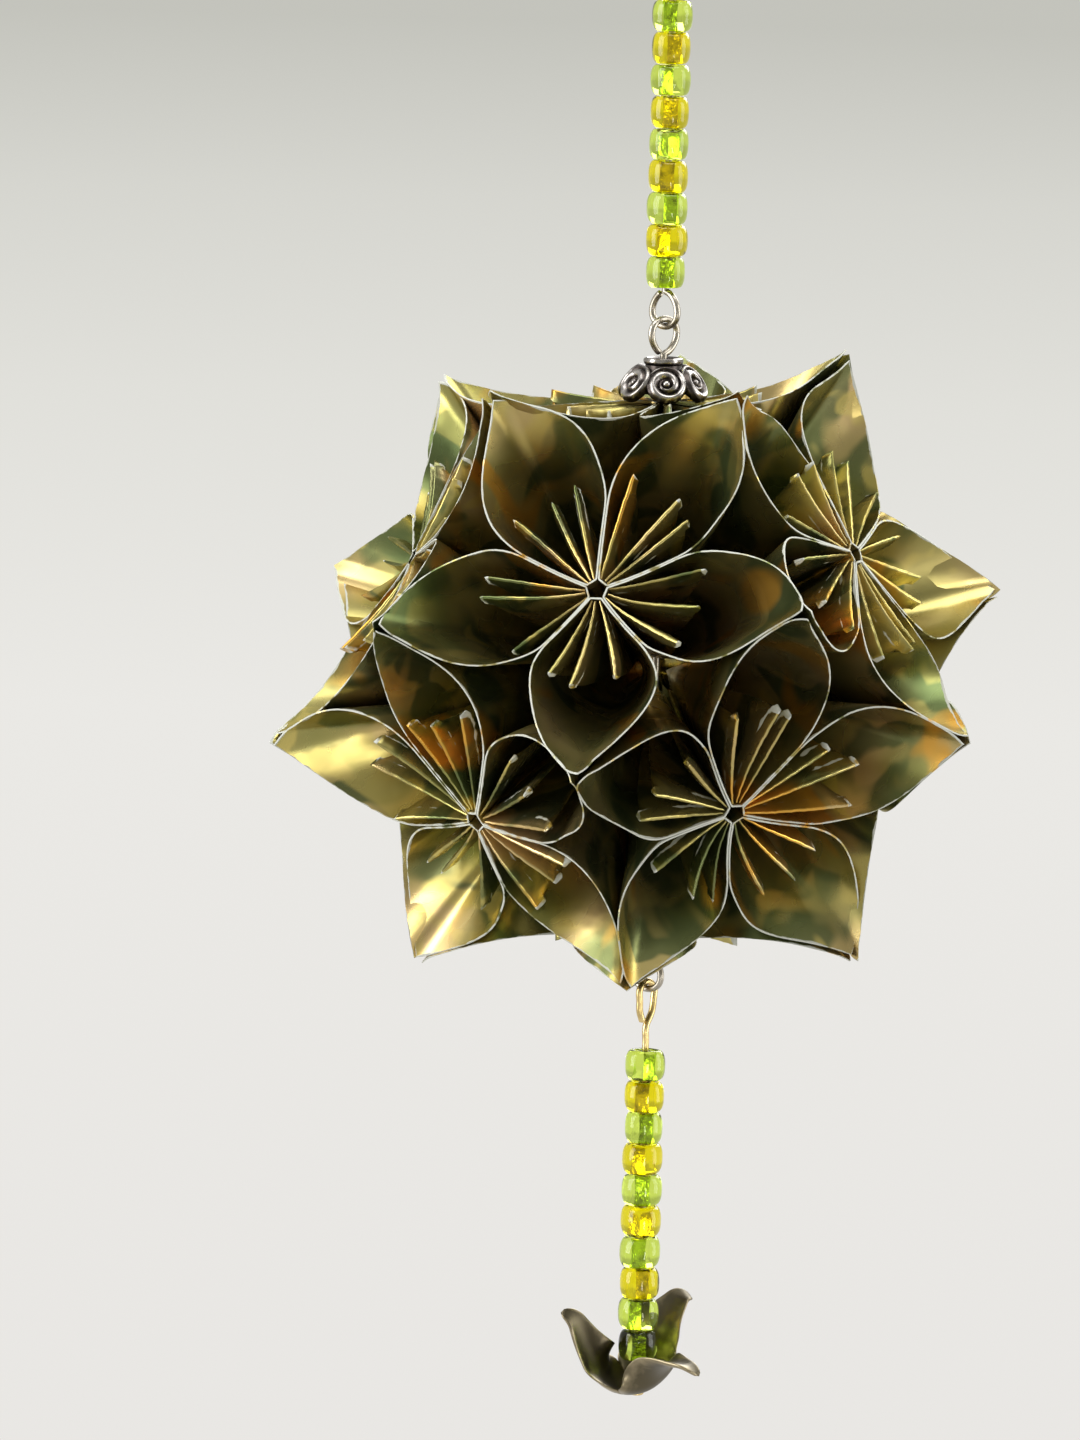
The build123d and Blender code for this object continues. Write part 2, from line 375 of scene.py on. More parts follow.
def waves(seed, count, reach_u, reach_v, u, v):
    """Soft dents: the mean of a few sine waves over two parameters, each with its own seeded
    direction and phase, so that the result stays within one either way."""
    draw = np.random.default_rng(seed)
    shape = (count,) + (1,) * np.ndim(u + v)
    along = draw.uniform(-reach_u, reach_u, shape)
    across = draw.uniform(-reach_v, reach_v, shape)
    phase = draw.uniform(0, 2 * np.pi, shape)
    return np.sin(2 * np.pi * (along * u + across * v) + phase).mean(axis=0)


# materials

def new_material(name):
    """An empty node material with its surface shader, output and Object coordinates."""
    material = bpy.data.materials.new(name)
    material.use_nodes = True
    nodes = material.node_tree.nodes
    shader = nodes["Principled BSDF"]
    place = nodes.new("ShaderNodeTexCoord")
    return material, nodes, material.node_tree.links, shader, place


def noise(nodes, links, place, scale, detail, distortion=0.0, seed=0.0):
    """A noise pattern on Object coordinates; the scale is in waves per metre and the seed picks another
    cut through the same noise."""
    pattern = nodes.new("ShaderNodeTexNoise")
    pattern.noise_dimensions = "4D"
    pattern.inputs["W"].default_value = seed
    pattern.inputs["Scale"].default_value = scale
    pattern.inputs["Detail"].default_value = detail
    pattern.inputs["Distortion"].default_value = distortion
    links.new(place.outputs["Object"], pattern.inputs["Vector"])
    return pattern.outputs["Fac"]


def ramp(nodes, links, source, stops):
    """A colour ramp through (place, colour) stops, read at the source."""
    band = nodes.new("ShaderNodeValToRGB")
    marks = band.color_ramp.elements
    marks[0].position, marks[0].color = stops[0][0], (*stops[0][1], 1)
    marks[1].position, marks[1].color = stops[-1][0], (*stops[-1][1], 1)
    for position, colour in stops[1:-1]:
        mark = marks.new(position)
        mark.color = (*colour, 1)
    links.new(source, band.inputs["Fac"])
    return band.outputs["Color"]


def blend_colour(nodes, links, share, first, second):
    """The first colour where the share is 0 and the second where it is 1."""
    mix = nodes.new("ShaderNodeMix")
    mix.data_type = "RGBA"
    links.new(share, mix.inputs["Factor"])
    for socket, value in ((mix.inputs[6], first), (mix.inputs[7], second)):
        if isinstance(value, tuple):
            socket.default_value = (*value, 1)
        else:
            links.new(value, socket)
    return mix.outputs[2]


def span(nodes, links, source, low, high, to_low, to_high, smooth=False):
    """The source carried from one range to another, held at the ends."""
    change = nodes.new("ShaderNodeMapRange")
    change.interpolation_type = "SMOOTHSTEP" if smooth else "LINEAR"
    for socket, value in zip(("From Min", "From Max", "To Min", "To Max"), (low, high, to_low, to_high)):
        change.inputs[socket].default_value = value
    links.new(source, change.inputs["Value"])
    return change.outputs["Result"]


def combine(nodes, links, operation, first, second):
    """Two values, or a value and a number, joined by one sum."""
    sum_node = nodes.new("ShaderNodeMath")
    sum_node.operation = operation
    for socket, value in zip(sum_node.inputs, (first, second)):
        if isinstance(value, (int, float)):
            socket.default_value = value
        else:
            links.new(value, socket)
    return sum_node.outputs["Value"]


def relief(nodes, links, shader, source, strength, depth):
    """Fine relief on a surface, as deep as given in millimetres."""
    bump = nodes.new("ShaderNodeBump")
    bump.inputs["Strength"].default_value = strength
    bump.inputs["Distance"].default_value = depth * MM
    links.new(source, bump.inputs["Height"])
    links.new(bump.outputs["Normal"], shader.inputs["Normal"])


def foil_paper():
    """Gold foil on white paper. The ground drifts between olive and tan gold, with soft brush marks of
    dark green, lime gold and amber on it, all under one satin metal gloss. The white of the sheet shows
    along every cut edge, in a band whose width wanders."""
    material, nodes, links, shader, place = new_material("gold_foil_paper")
    drift = noise(nodes, links, place, drift_scale, 1.0, 0.5)
    colour = ramp(nodes, links, drift, foil_ground)
    for scale, curl, cut_through, start, full, strength, tint in foil_marks:
        brush = noise(nodes, links, place, scale, brush_detail, curl, cut_through)
        mark = span(nodes, links, brush, start, full, 0.0, strength, True)
        colour = blend_colour(nodes, links, mark, colour, tint)
    cut = nodes.new("ShaderNodeAttribute")
    cut.attribute_name = "edge"
    wander = span(nodes, links, noise(nodes, links, place, wander_scale, 2.0), 0.35, 0.65, *edge_width)
    tears = noise(nodes, links, place, torn_scale, 2.0, 0.0, 9.0)
    torn = span(nodes, links, tears, 0.5, 0.7, 0.0, torn_width, True)
    band = combine(nodes, links, "ADD", wander, torn)
    from_edge = combine(nodes, links, "SUBTRACT", cut.outputs["Fac"], band)
    white = span(nodes, links, from_edge, -edge_softness, edge_softness, 1.0, 0.0)
    links.new(blend_colour(nodes, links, white, colour, paper_white), shader.inputs["Base Color"])
    links.new(span(nodes, links, white, 0.0, 1.0, foil_metal, 0.0), shader.inputs["Metallic"])
    sheen = noise(nodes, links, place, sheen_scale, 2.0, 0.5, 5.0)
    gloss = span(nodes, links, sheen, 0.35, 0.65, *foil_gloss)
    links.new(combine(nodes, links, "MAXIMUM", gloss, white), shader.inputs["Roughness"])
    crumples = noise(nodes, links, place, crumple_scale, 1.5, 0.6, 2.0)
    relief(nodes, links, shader, crumples, crumple_strength, crumple_depth)
    shader.inputs["Specular Tint"].default_value = foil_edge_tint
    return material


def bead_glass(name, colour):
    """Clear coloured glass with a little waviness in its surface."""
    material, nodes, links, shader, place = new_material(name)
    tint = noise(nodes, links, place, 300, 1.0)
    shade = tuple(glass_shade * part for part in colour)
    links.new(ramp(nodes, links, tint, [(0.3, shade), (0.7, colour)]), shader.inputs["Base Color"])
    shader.inputs["Transmission Weight"].default_value = 1.0
    shader.inputs["IOR"].default_value = glass_index
    shader.inputs["Roughness"].default_value = glass_gloss
    relief(nodes, links, shader, noise(nodes, links, place, 700, 1.0), 0.25, 0.1)
    return material


def metal_with_painted_shade(name, bright, dark, gloss, scale, dimple=0.2, dimple_depth=0.06):
    """Metal whose hollows are painted dark as shade: a soft stain noise and the depth of the relief, kept in
    the piece's edge attribute from 0 in a hollow to 1 on a ridge, pass between the dark and bright tones.
    Fine dimples break up its reflections."""
    material, nodes, links, shader, place = new_material(name)
    stain = noise(nodes, links, place, scale, 3.0, 0.3)
    depth = nodes.new("ShaderNodeAttribute")
    depth.attribute_name = "edge"
    # painted shade: the edge attribute lowers the tone in the hollows
    height = span(nodes, links, depth.outputs["Fac"], 0.0, 1.0, -0.4, 0.0)
    stain_and_painted_shade = combine(nodes, links, "ADD", stain, height)
    links.new(ramp(nodes, links, stain_and_painted_shade, [(0.30, dark), (0.60, bright)]), shader.inputs["Base Color"])
    shader.inputs["Metallic"].default_value = 1.0
    links.new(span(nodes, links, stain_and_painted_shade, 0.2, 0.7, gloss + 0.15, gloss), shader.inputs["Roughness"])
    relief(nodes, links, shader, noise(nodes, links, place, 2.2 * scale, 3.0), dimple, dimple_depth)
    return material


gold_foil = foil_paper()
green_glass = bead_glass("green_bead_glass", (0.74, 0.92, 0.13))
yellow_glass = bead_glass("yellow_bead_glass", (0.97, 0.85, 0.003))
lining_silver = metal_with_painted_shade(
    "silver_bead_lining",
    bright=(0.80, 0.80, 0.77),
    dark=(0.26, 0.25, 0.20),
    gloss=0.16,
    scale=1100,
    dimple=0.9,
    dimple_depth=0.2,
)
nickel_wire = metal_with_painted_shade(
    "nickel_wire",
    bright=(0.47, 0.43, 0.36),
    dark=(0.26, 0.23, 0.18),
    gloss=0.26,
    scale=600,
)
brass_wire = metal_with_painted_shade(
    "brass_wire",
    bright=(0.78, 0.60, 0.28),
    dark=(0.46, 0.34, 0.13),
    gloss=0.22,
    scale=600,
)
antique_silver = metal_with_painted_shade(
    "antique_silver",
    bright=(0.50, 0.47, 0.44),
    dark=(0.06, 0.05, 0.045),
    gloss=0.2,
    scale=700,
)
antique_brass = metal_with_painted_shade(
    "antique_brass",
    bright=(0.36, 0.30, 0.19),
    dark=(0.11, 0.093, 0.058),
    gloss=0.28,
    scale=380,
)


# folded flowers

def half_outline(count):
    """Half of a petal's outline in the plane at the seam's height, from the tip round the bulge to
    the seam, as a line whose heading turns: by 36 degrees round the soft tip, by 90 round the bulge
    and by 54 at the seam, and not at all on the straight stretches between. Gives the points and
    their outward normals."""
    corner = reach * np.cos(half_turn)
    tip_arc = tip_round * half_turn
    tip_side = reach * np.sin(half_turn) - bulge_radius - tip_round / np.tan(tip_half)
    bulge_arc = bulge_radius * np.pi / 2
    sector = corner - bulge_radius - seam_start
    seam_arc = seam_round * tip_half
    knots = np.cumsum([0, tip_arc, tip_side, bulge_arc, sector, seam_arc])
    headings = np.radians([90, 126, 126, 216, 216, 270])
    fine = np.linspace(0, knots[-1], 4001)
    heading = np.interp(fine, knots, headings)
    step = np.gradient(fine)
    x = np.cumsum(np.cos(heading) * step) + reach - tip_round * (1 / np.sin(tip_half) - 1)
    y = np.cumsum(np.sin(heading) * step)
    x, y = np.append(x, x[-1]), np.append(y, 0.0)
    heading = np.append(heading, headings[-1])
    pace = np.append(fine, knots[-1] + y[-2]) / knots[-1] + 0.25 * heading
    at = np.linspace(pace[0], pace[-1], count)
    x, y, heading = (np.interp(at, pace, value) for value in (x, y, heading))
    y[0], y[-1] = 0.0, 0.0
    return x, y, np.sin(heading), -np.cos(heading)


def petal_lines(count):
    """The whole outline, from the seam round one side to the tip and back round the other, with the
    turn of the sheet at each point: its angle from the seam, which the fold spreads to 45 degrees."""
    x, y, nx, ny = half_outline(count)
    way = np.stack([x, y, np.full(count, seam_length)], axis=-1)
    way /= np.linalg.norm(way, axis=-1, keepdims=True)
    turn = np.append(0, np.cumsum(np.linalg.norm(np.diff(way[::-1], axis=0), axis=-1)))[::-1]
    turn *= np.pi / 4 / turn[0]
    mirror = slice(None, 0, -1)
    outline = np.stack([np.append(x[mirror], x), np.append(-y[mirror], y)], axis=-1)
    normal = np.stack([np.append(nx[mirror], nx), np.append(-ny[mirror], ny)], axis=-1)
    return outline, normal, np.append(turn[mirror], turn)


outline, outline_normal, sheet_turn = petal_lines(line_count)
rim_rows = np.concatenate([np.linspace(0.0, 0.96, 17) ** 0.8, [0.985, 0.994, 1.0]])


def flower_sheets(seed):
    """The sheets of one flower in its own frame, with its point at the origin and its axis along +Z.
    Every petal is a cone of straight lines from its point to the rim, with an outer and an inner wall.
    A line's rim lies half the sheet's side divided by the cosine of the sheet's turn away from the
    point. Seeded dents, a wave along the rim and a change of width make no two petals alike. The edge
    attribute is the distance along the line from the rim."""
    draw = np.random.default_rng(seed)
    turns = np.radians(petal_step * np.arange(petals))
    along = np.linspace(-1, 1, len(outline))
    free = np.interp(np.abs(along), [0.0, 0.45, 0.68], [1, 1, 0])
    free = free * free * (3 - 2 * free)
    swell = 1 + petal_swell * draw.uniform(-1, 1, (petals, 1)) * free
    rim_wave = waves(seed + 1, 5, 2.0, 1.0, along, np.arange(petals)[:, None] * 0.37)
    rim_wave = 1 + rim_waviness * rim_wave * (1 - along**6)
    glued = np.interp(np.abs(along), [0.70, 0.78], [0, 1])
    walls = []
    for inset in (glue_gap / 2, glue_gap / 2 + paper_wall):
        flat = outline - inset * outline_normal
        point = np.array([seam_start + inset, 0.0, (seam_start + inset) / np.tan(tip_angle)])
        rim = np.concatenate([flat, np.full((len(flat), 1), seam_length)], axis=-1)
        rim = np.broadcast_to(rim, (petals,) + rim.shape).copy()
        rim[..., 1] *= swell
        length = seam_length / np.cos(sheet_turn) * rim_wave
        ray = rim - point
        scale = length / np.linalg.norm(rim, axis=-1)
        line = ray * scale[..., None]
        wall = point + line[:, :, None, :] * rim_rows[None, None, :, None]
        own_place = along[None, :, None] + 3.1 * np.arange(petals)[:, None, None]
        dent = waves(seed + 2, 9, 2.2, 1.2, own_place, rim_rows)
        depth = dent_depth * dent * free[None, :, None] * rim_rows * np.sqrt(rim_rows)
        wall[..., :2] += depth[..., None] * outline_normal[None, :, None, :]
        edge = (1 - rim_rows)[None, None, :] * np.linalg.norm(line, axis=-1)[..., None]
        edge = edge - glue_white * glued[None, :, None]
        walls.append((wall, edge))
    (outer, outer_edge), (inner, inner_edge) = walls
    rim_strip = np.stack([outer[:, :, -1], inner[:, :, -1]], axis=2)
    cos, sin = np.cos(turns), np.sin(turns)
    zero, one = np.zeros(petals), np.ones(petals)
    spin = np.stack([cos, -sin, zero, sin, cos, zero, zero, zero, one], axis=-1)
    spin = spin.reshape(petals, 1, 1, 3, 3)

    def placed(points):
        """Each petal's grid turned about the flower's axis to its own place."""
        return np.einsum("pijab,pijb->pija", np.broadcast_to(spin, points.shape[:3] + (3, 3)), points)

    sheets = [
        (placed(outer), outer_edge, True),
        (placed(inner), inner_edge, False),
        (placed(rim_strip), np.zeros(rim_strip.shape[:-1]), True),
    ]
    return sheets + [stamen_sheet(seed + 3)]


def stamen_sheet(seed):
    """The cut stamens of one flower: each is a strip folded over a narrow ridge, which stands on its seam
    like a small tent. Along the strip the ridge runs from the seam to its free end and lifts a little,
    the foot climbs from low on the seam to just under the free end, and the width is greatest past the
    middle. Across it the section is a half circle over two flanks that spread to their cut edges, then
    draws in to the foot. The first and last rings have no width, which closes both ends."""
    draw = np.random.default_rng(seed)
    count = 3 * petals
    base = (petal_step * np.arange(petals)[:, None] + stamen_angle * np.array([-1, 0, 1])).ravel()
    angle = np.radians(base + draw.uniform(-stamen_stray, stamen_stray, count))[:, None, None]
    length = (stamen_reach * draw.uniform(*stamen_lengths, count))[:, None, None]
    lift = draw.uniform(*stamen_lift, count)[:, None, None]
    bend = draw.uniform(-stamen_bend, stamen_bend, count)[:, None, None]
    half_width = draw.uniform(*stamen_width, count)[:, None, None]
    run = np.concatenate([[0.0], np.linspace(0, 1, stamen_rings), [1.03]])[None, :, None]
    closed = np.concatenate([[0.0], np.ones(stamen_rings), [0.0]])[None, :, None]
    crimp = draw.uniform(-stamen_crimp, stamen_crimp, (count, stamen_rings + 2, 1)) * closed
    arc = np.radians(np.concatenate([[-90, -90], np.linspace(-90, 90, ridge_points), [90, 90, -90]]))
    flank = np.array([1, 1] + ridge_points * [0] + [1, 1, 1])
    foot = np.array([1, 0] + ridge_points * [0] + [0, 1, 1])
    width = half_width * np.interp(run, [0.0, 0.55, 0.85, 1.0], [0.45, 0.9, 1.0, 0.75]) * closed
    across = width * np.sin(arc) * (ridge_share + (1 - ridge_share) * flank - (1 - foot_share) * foot)
    distance = seam_start + (length - seam_start) * run
    top = seam_length - ridge_drop + lift * run**2 + crimp
    left = np.clip(1 - run, 0, 1)
    below = np.maximum((top - stamen_foot) * left**0.8 - stamen_flank, 0)
    height = top - ridge_share * width * (1 - np.cos(arc)) - stamen_flank * flank - below * foot
    sway = bend * run**2 + np.roll(crimp, 3, axis=0)
    x = distance * np.cos(angle) - (across + sway) * np.sin(angle)
    y = distance * np.sin(angle) + (across + sway) * np.cos(angle)
    grid = np.stack(np.broadcast_arrays(x, y, height), axis=-1)
    edge = np.minimum(left * length + 0.06, 0.1 + stamen_flank * (1 - flank) + below * foot)
    return grid, edge, True


def flower_frame(latitude, turn):
    """Axes and place of a flower: its axis points away from the ball's centre at the latitude and
    turn, and its first petal points to the nearer pole's far side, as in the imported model."""
    lat, azimuth = np.radians(latitude), np.radians(turn)
    level = np.array([np.sin(azimuth), -np.cos(azimuth), 0.0])
    outward = level * np.cos(lat) + np.array([0, 0, np.sin(lat)])
    first = level
    if abs(latitude) < 89:
        first = np.array([0, 0, -1.0 if latitude > 0 else 1.0])
        first = first - outward * (first @ outward)
        first /= np.linalg.norm(first)
    axes = np.stack([first, np.cross(outward, first), outward], axis=-1)
    return axes, np.array([0, 0, ball_centre]) + outward * core_gap


def outward_axis(latitude, turn):
    """The direction from the ball's centre to a flower."""
    lat, azimuth = np.radians(latitude), np.radians(turn)
    return np.array([np.cos(lat) * np.sin(azimuth), -np.cos(lat) * np.cos(azimuth), np.sin(lat)])


def settled(points):
    """The hand-made ball isn't quite regular. The whole ball leans and sits a little off its wire, less
    and less towards the poles, where the wire passes, and some flower centres and petal tips are nudged
    sideways and up. Every nudge fades to nothing, as a raised cosine of the angle, before the next
    flower's centre or tip, and grows in proportion to the distance from the ball's centre."""
    arm = points - np.array([0, 0, ball_centre])
    distance = np.linalg.norm(arm, axis=-1)
    way = arm / np.maximum(distance, 1e-6)[..., None]
    polar = np.degrees(np.arccos(np.clip(np.abs(way[..., 2]), 0, 1)))
    share = np.clip((polar - pole_still) / pole_fade, 0, 1)
    share = share * share * (3 - 2 * share)
    lean = np.radians(ball_lean)
    leant = np.stack(
        [
            arm[..., 0] * np.cos(lean) + arm[..., 2] * np.sin(lean) + ball_offset,
            arm[..., 1],
            arm[..., 2] * np.cos(lean) - arm[..., 0] * np.sin(lean),
        ],
        axis=-1,
    )
    moved = arm + share[..., None] * (leant - arm) * np.clip(distance / core_fade, 0, 1)[..., None]
    for names, right, up in nudges:
        middle = sum(flower_axis[name] for name in names)
        middle = middle / np.linalg.norm(middle)
        angle = np.degrees(np.arccos(np.clip(way @ middle, -1, 1)))
        weight = 0.5 + 0.5 * np.cos(np.pi * np.clip(angle / nudge_spread, 0, 1))
        weight = weight * distance / (seam_length + core_gap if len(names) == 1 else tip_length)
        moved = moved + weight[..., None] * np.array([right, 0, up])
    return moved + np.array([0, 0, ball_centre])


flower_latitude = np.degrees(np.arctan(0.5))
flowers = [("flower_top", 90.0, ball_turn + petal_step / 2), ("flower_bottom", -90.0, ball_turn)]
for place in range(petals):
    flowers.append((f"flower_upper_{place + 1}", flower_latitude, ball_turn + petal_step * place))
    flowers.append((f"flower_lower_{place + 1}", -flower_latitude, ball_turn + petal_step * (place + 0.5)))

flower_axis = {node: outward_axis(latitude, turn) for node, latitude, turn in flowers}

for number, (node, latitude, turn) in enumerate(flowers):
    axes, origin = flower_frame(latitude, turn)
    own = flower_sheets(flower_seed + 10 * number)
    sheets = [(settled(turned(grid, axes, origin)), edge, flip) for grid, edge, flip in own]
    make_piece(f"foil_{node}", sheets, gold_foil, "ball", "gold_paper", node)


# beads

def square_reach(around):
    """Distance from the middle of a square of half side 1 to its outline."""
    return 1 / np.maximum(np.abs(np.cos(around)), np.abs(np.sin(around)))


def spun(x, y, z, turn):
    """A grid of points turned about the upright axis."""
    cos, sin = np.cos(np.radians(turn)), np.sin(np.radians(turn))
    return np.stack(np.broadcast_arrays(x * cos - y * sin, x * sin + y * cos, z), axis=-1)


def bead_sheet(seed, top, turn):
    """One bead as a closed ring: its section runs up the crowned outside, over the rounded end, down
    the square hole and back. The distance from the axis passes from a circle outside to a square in
    the hole, and a seeded lean and wobble make each bead a little uneven."""
    draw = np.random.default_rng(seed)
    around = np.linspace(0, 2 * np.pi, 41)[None, :]
    loop = np.linspace(0, 2 * np.pi, 49)[:, None]
    middle = (bead_radius + bead_hole / 2) / 2
    half = (bead_radius - bead_hole / 2) / 2
    out = np.sign(np.cos(loop)) * np.abs(np.cos(loop)) ** bead_roundness
    up = np.sign(np.sin(loop)) * np.abs(np.sin(loop)) ** bead_roundness
    outside = np.clip((out + 1) / 2, 0, 1)
    square = square_reach(around)
    shape = square + (1 - square) * np.minimum(1, 1.6 * outside)
    phase = draw.uniform(0, 2 * np.pi, 2)
    uneven = np.cos(2 * around + phase[0]) + np.cos(3 * around + phase[1])
    wobble = 1 + bead_wobble * uneven * outside
    radius = (middle + half * out) * shape * wobble * draw.uniform(*bead_widths) ** outside
    lean = draw.uniform(-bead_lean, bead_lean, 2)
    x = radius * np.cos(around)
    y = radius * np.sin(around)
    tilt = (lean[0] * x + lean[1] * y) * outside
    height = bead_length / 2 * up * draw.uniform(*bead_lengths) + tilt
    grid = spun(x, y, height + top - bead_length / 2, turn)
    return grid, np.ones(grid.shape[:-1]), False


def lining_sheet(top, turn):
    """The silvered wall of one bead's hole: a thin square tube just inside the hole."""
    around = np.linspace(0, 2 * np.pi, 33)[None, :]
    outer = (bead_hole / 2 - lining_gap) * square_reach(around)
    inner = outer - lining_wall
    radius = np.concatenate([outer, outer, inner, inner, outer])
    half = bead_length / 2 - lining_inset
    level = np.array([-half, half, half, -half, -half])[:, None] + top - bead_length / 2
    grid = spun(radius * np.cos(around), radius * np.sin(around), level, turn)
    return grid, np.ones(grid.shape[:-1]), False


for strand, body, top, green_places in (
    ("hanger_bead", "hanger", hanger_beads, (2, 4, 6, 8, 10)),
    ("pendant_bead", "pendant", pendant_beads, (1, 3, 5, 7, 9, 10)),
):
    linings = []
    for place in range(1, bead_count + 1):
        level = top - (place - 1) * bead_pitch
        green = place in green_places
        make_piece(
            f"glass_{strand}_{place:02d}",
            [bead_sheet(bead_seed + 20 * len(strand) + place, level, bead_spin * place)],
            green_glass if green else yellow_glass,
            body,
            "green_glass" if green else "yellow_glass",
            f"{strand}_{place:02d}",
        )
        linings.append(lining_sheet(level, bead_spin * place))
    make_piece(f"{strand}_linings", linings, lining_silver, body, "silver_wire")


# wires

def smooth_line(corners, per_span):
    """A smooth line through corner points: each span is the cubic whose slope at a corner is half the
    step between that corner's neighbours."""
    corners = np.asarray(corners, dtype=float)
    padded = np.concatenate([[2 * corners[0] - corners[1]], corners, [2 * corners[-1] - corners[-2]]])
    before, first = padded[:-3, None], padded[1:-2, None]
    second, after = padded[2:-1, None], padded[3:, None]
    t = np.linspace(0, 1, per_span, endpoint=False)[None, :, None]
    line = 0.5 * (
        2 * first
        + (second - before) * t
        + (2 * before - 5 * first + 4 * second - after) * t**2
        + (3 * first - before - 3 * second + after) * t**3
    )
    return np.concatenate([line.reshape(-1, corners.shape[1]), corners[-1:]])


def wire_sheet(line, turn, radius=wire_radius):
    """A round wire along a line that lies in one upright plane, given as (across, height): a circle
    carried along it, with rounded ends."""
    line = np.asarray(line)
    ends = np.array([0.0, 0.7, 1.0])
    swell = np.sqrt(1 - (1 - ends) ** 2) * radius
    slope = np.gradient(line, axis=0)
    slope /= np.linalg.norm(slope, axis=-1, keepdims=True)
    head = line[0] - slope[0] * (radius * (1 - ends))[:, None]
    tail = line[-1] + slope[-1] * (radius * (1 - ends[::-1]))[:, None]
    path = np.concatenate([head, line[1:-1], tail])
    slope = np.concatenate([slope[:1], slope[:1], slope, slope[-1:], slope[-1:]])
    size = np.concatenate([swell, np.full(len(line) - 2, radius), swell[::-1]])[:, None]
    round_angle = np.linspace(0, 2 * np.pi, 15)[None, :]
    inward = size * np.cos(round_angle)
    sideways = size * np.sin(round_angle)
    flat = path[:, None, 0] - slope[:, None, 1] * inward
    height = path[:, None, 1] + slope[:, None, 0] * inward
    cos, sin = np.cos(np.radians(turn)), np.sin(np.radians(turn))
    grid = np.stack([flat * cos - sideways * sin, flat * sin + sideways * cos, height], axis=-1)
    return grid, np.ones(grid.shape[:-1]), True


def eye_line(centre, rise):
    """A bent eye that starts under its centre: a circle that is drawn in towards the joint and widened
    on the far side, in proportion to the sine of the angle."""
    angle = np.radians(np.linspace(-90, -90 + eye_sweep, 49))
    across = eye_radius * np.cos(angle) * (1 + eye_taper * np.sin(angle))
    height = centre + rise * eye_radius * np.sin(angle)
    return np.stack([across, height], axis=-1)


def straight(start, end, count=4):
    """A straight upright run, without its last point."""
    height = np.linspace(start, end, count, endpoint=False)
    return np.stack([np.zeros(count), height], axis=-1)


hanger_line = np.concatenate(
    [
        eye_line(hang_centre, 1)[::-1],
        straight(hang_centre - eye_radius, hanger_low_eye + eye_radius, 6)[1:],
        eye_line(hanger_low_eye, -1),
    ]
)
make_piece(
    "hanger_pin",
    [wire_sheet(hanger_line, hanger_eye_turn)],
    nickel_wire,
    "hanger",
    "silver_wire",
    "hanger_wire",
)

upper_run = straight(ball_eye - eye_radius, ball_centre, 6)[1:]
upper_line = np.concatenate([eye_line(ball_eye, 1)[::-1], upper_run])
lower_run = straight(ball_centre + 2, ring_centre + eye_radius, 6)
lower_line = np.concatenate([lower_run, eye_line(ring_centre, -1)])
make_piece(
    "ball_pin",
    [wire_sheet(upper_line, ball_eye_turn), wire_sheet(lower_line, ball_ring_turn)],
    nickel_wire,
    "ball",
    "silver_wire",
    "ball_wire",
)

hook_corner = 0.6 * hook_width
hook = smooth_line(
    [
        (-0.62 * hook_width, shank_top + 0.7),
        (-0.95 * hook_width, shank_top + 1.6),
        (-hook_width, hook_top - 2.0),
        (-hook_width, hook_top - hook_corner),
        (0.0, hook_top),
        (hook_width, hook_top - hook_corner),
        (hook_width, hook_top - 1.7),
        (0.75 * hook_width, hook_top - 3.2),
        (0.0, shank_top),
        (0.0, shank_top - 1.5),
    ],
    8,
)
shank = straight(shank_top - 2.5, pin_end, 8)
pin_line = np.concatenate([hook, shank, [[0.0, pin_end]]])


def pin_head_sheet():
    """The pin's flattened head: a turned button, from its flat top round a soft edge to a low dome."""
    around = np.linspace(0, 2 * np.pi, 33)[None, :]
    share, level = np.array(pin_head_profile).T[:, :, None]
    radius = pin_head_radius * share
    x, y = radius * np.cos(around), radius * np.sin(around)
    grid = np.stack(np.broadcast_arrays(x, y, level + pin_end), axis=-1)
    return grid, np.ones(grid.shape[:-1]), True


make_piece(
    "brass_hook_pin",
    [wire_sheet(pin_line, ball_ring_turn + 90), pin_head_sheet()],
    brass_wire,
    "pendant",
    "brass_wire",
    "pendant_pin",
)


# silver cap

def bell_sheet():
    """The cap's bell: a turned wall from the pierced top over a raised ring and down a flared skirt,
    then back up inside. The skirt is drawn in between the scrolls by a wave round the axis, and the
    edge attribute paints shade on the top, on the skirt behind the scrolls and inside, leaving the ring
    bright."""
    around = np.linspace(0, 2 * np.pi, 97)[None, :]
    # bright is painted brightness: shade is painted on the top, the skirt and the inside of the bell
    radius, drop, bright = np.array(bell_profile).T
    skirt = np.clip((radius - 1.8) / 1.4, 0, 1)[:, None]
    lobes = skirt * bell_wave * np.cos(scroll_count * around)
    ring = radius[:, None] * (1 + lobes)
    level = cap_top - drop[:, None]
    grid = np.stack(np.broadcast_arrays(ring * np.cos(around), ring * np.sin(around), level), axis=-1)
    closed = np.concatenate([grid, grid[:1]])
    edge = np.broadcast_to(np.append(bright, bright[0])[:, None], closed.shape[:-1])
    return closed, edge, True


